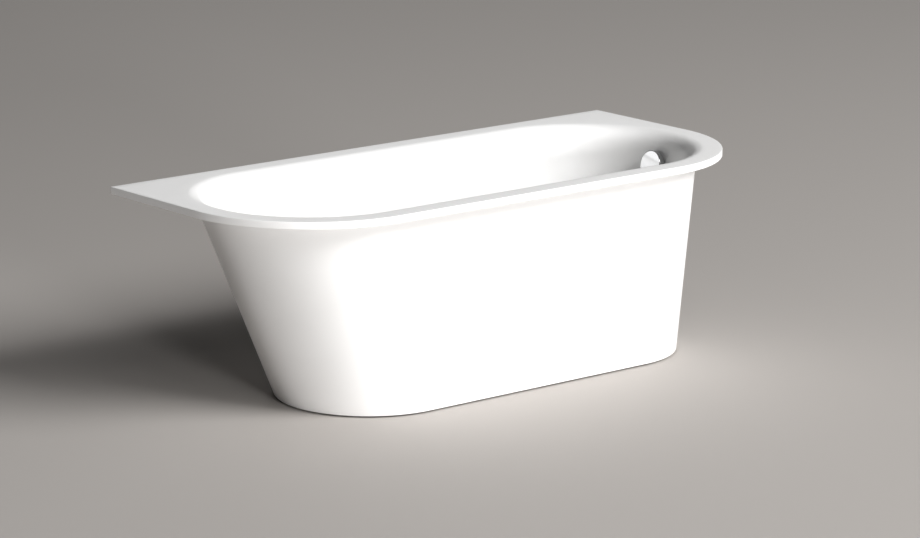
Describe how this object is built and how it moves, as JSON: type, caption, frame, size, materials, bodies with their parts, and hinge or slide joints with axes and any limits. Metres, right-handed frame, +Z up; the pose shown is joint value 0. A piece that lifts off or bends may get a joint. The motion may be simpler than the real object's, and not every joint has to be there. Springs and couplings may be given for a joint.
{
  "type": "stone resin bathtub",
  "caption": "Back-to-wall freestanding bath in white stone resin: flat wide rim, tapered skirt with a raked head end, chrome overflow knob working a pop-up waste.",
  "frame": {"origin": "on the floor, under the middle of the rim's length and depth", "axes": "+X along the bath towards the drain end, +Y towards the wall behind it, +Z up"},
  "size_m": [1.7, 0.745, 0.573],
  "materials": {
    "stone_resin": "fine matt cast mineral resin, silky",
    "coated_steel": "dark powder coat, light texture",
    "zinc_steel": "bright zinc plate",
    "stainless_steel": "plain stainless",
    "chrome": "polished chrome plate",
    "brass": "turned brass",
    "black_plastic": "fine moulded grain",
    "white_plastic": "moulded waste fitting, satin",
    "grey_hose": "flexible hose, satin",
    "rubber": "soft black rubber"
  },
  "bodies": {
    "bath": {"basin_and_rim": "stone_resin", "outer_skirt": "stone_resin", "base_frame": "coated_steel", "frame_nuts": "zinc_steel", "foot_lock_nuts": "zinc_steel", "flange_screws": "stainless_steel", "upper_wire": "stainless_steel", "upper_ferrule": "stainless_steel", "lower_ferrule": "stainless_steel", "hose_clips": "stainless_steel", "overflow_flange": "chrome", "waste_flange": "chrome", "overflow_housing": "black_plastic", "waste_body": "black_plastic", "bowden_sheath": "black_plastic", "trap_cup": "white_plastic", "trap_nut": "white_plastic", "outlet_elbow": "white_plastic", "outlet_nut": "white_plastic", "overflow_hose": "grey_hose", "support_pads": "rubber", "overflow_seal": "rubber", "waste_seal": "rubber", "trap_washer": "rubber"},
    "knob": {"overflow_knob": "chrome", "knob_spindle": "brass", "knob_grub_screw": "stainless_steel", "cable_drum": "black_plastic"},
    "slider": {"lift_slider": "black_plastic"},
    "plug": {"plug_cap": "chrome", "plug_seal": "rubber", "plug_stem": "brass"},
    "foot_1": {"foot_1_stem": "zinc_steel", "foot_1_pad": "black_plastic"},
    "foot_2": {"foot_2_stem": "zinc_steel", "foot_2_pad": "black_plastic"},
    "foot_3": {"foot_3_stem": "zinc_steel", "foot_3_pad": "black_plastic"},
    "foot_4": {"foot_4_stem": "zinc_steel", "foot_4_pad": "black_plastic"}
  },
  "joints": [
    {"name": "knob_turn", "type": "hinge", "parent": "bath", "child": "knob", "pos_m": [0.73853, 0, 0.485], "axis": [-0.9681, 0, 0.2504], "range_deg": [0, 90]},
    {"name": "slider_travel", "type": "slide", "parent": "bath", "child": "slider", "axis": [1, 0, 0], "range_m": [0, 0.0126]},
    {"name": "plug_lift", "type": "slide", "parent": "bath", "child": "plug", "axis": [0, 0, 1], "range_m": [0, 0.01]},
    {"name": "foot_1_height", "type": "slide", "parent": "bath", "child": "foot_1", "axis": [0, 0, -1], "range_m": [-0.004, 0.015]},
    {"name": "foot_2_height", "type": "slide", "parent": "bath", "child": "foot_2", "axis": [0, 0, -1], "range_m": [-0.004, 0.015]},
    {"name": "foot_3_height", "type": "slide", "parent": "bath", "child": "foot_3", "axis": [0, 0, -1], "range_m": [-0.004, 0.015]},
    {"name": "foot_4_height", "type": "slide", "parent": "bath", "child": "foot_4", "axis": [0, 0, -1], "range_m": [-0.004, 0.015]}
  ],
  "couplings": [
    {"joint": "slider_travel", "follows": "knob_turn", "m_per_rad": 0.008},
    {"joint": "plug_lift", "follows": "knob_turn", "m_per_rad": 0.0063661}
  ]
}
